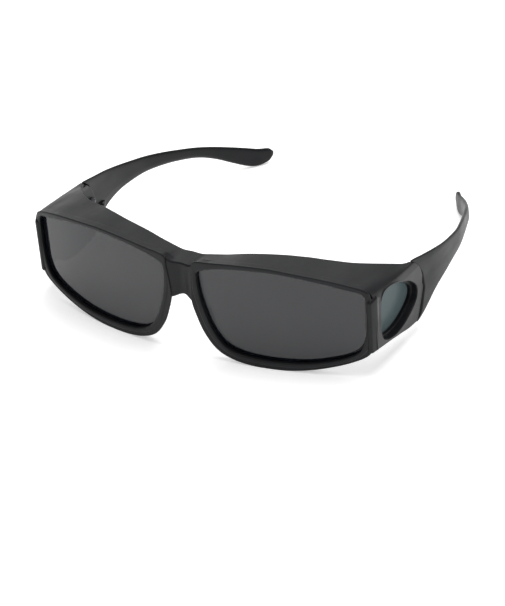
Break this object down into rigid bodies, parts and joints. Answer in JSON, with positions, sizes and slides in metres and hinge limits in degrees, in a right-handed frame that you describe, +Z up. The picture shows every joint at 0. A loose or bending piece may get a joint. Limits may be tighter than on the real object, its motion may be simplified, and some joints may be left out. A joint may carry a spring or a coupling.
{
  "type": "wrap-round over-glasses sunglasses",
  "caption": "Wrap-round sunglasses worn over ordinary glasses, with a deep brow, tinted side windows and folding drooped temples.",
  "frame": {"origin": "centre of the box round the whole object, on the table it rests on", "axes": "+X to the right of a viewer facing the lenses, +Y from the lenses to the temple tips, +Z up; drawn as it rests on a table with both temples open"},
  "size_m": [0.1488, 0.1664, 0.0468],
  "materials": {
    "frame": "satin moulded",
    "temples": "satin moulded",
    "front_lenses": "polished smoke tint",
    "side_lenses": "polished smoke tint",
    "hinge_leaves": "satin black",
    "hinge_fixings": "plain"
  },
  "bodies": {
    "front": {"front_frame": "frame", "right_front_lens": "front_lenses", "left_front_lens": "front_lenses", "right_side_lens": "side_lenses", "left_side_lens": "side_lenses", "right_front_leaf": "hinge_leaves", "left_front_leaf": "hinge_leaves", "right_front_leaf_pins": "hinge_fixings", "left_front_leaf_pins": "hinge_fixings", "right_hinge_screw": "hinge_fixings", "left_hinge_screw": "hinge_fixings"},
    "right_temple_arm": {"right_temple": "temples", "right_temple_leaf": "hinge_leaves", "right_temple_leaf_pins": "hinge_fixings"},
    "left_temple_arm": {"left_temple": "temples", "left_temple_leaf": "hinge_leaves", "left_temple_leaf_pins": "hinge_fixings"}
  },
  "joints": [
    {"name": "right_temple_fold", "type": "hinge", "parent": "front", "child": "right_temple_arm", "pos_m": [0.069, -0.0201, 0.015], "axis": [0, 0, 1], "range_deg": [0, 75]},
    {"name": "left_temple_fold", "type": "hinge", "parent": "front", "child": "left_temple_arm", "pos_m": [-0.069, -0.0201, 0.015], "axis": [0, 0, -1], "range_deg": [0, 90]}
  ]
}
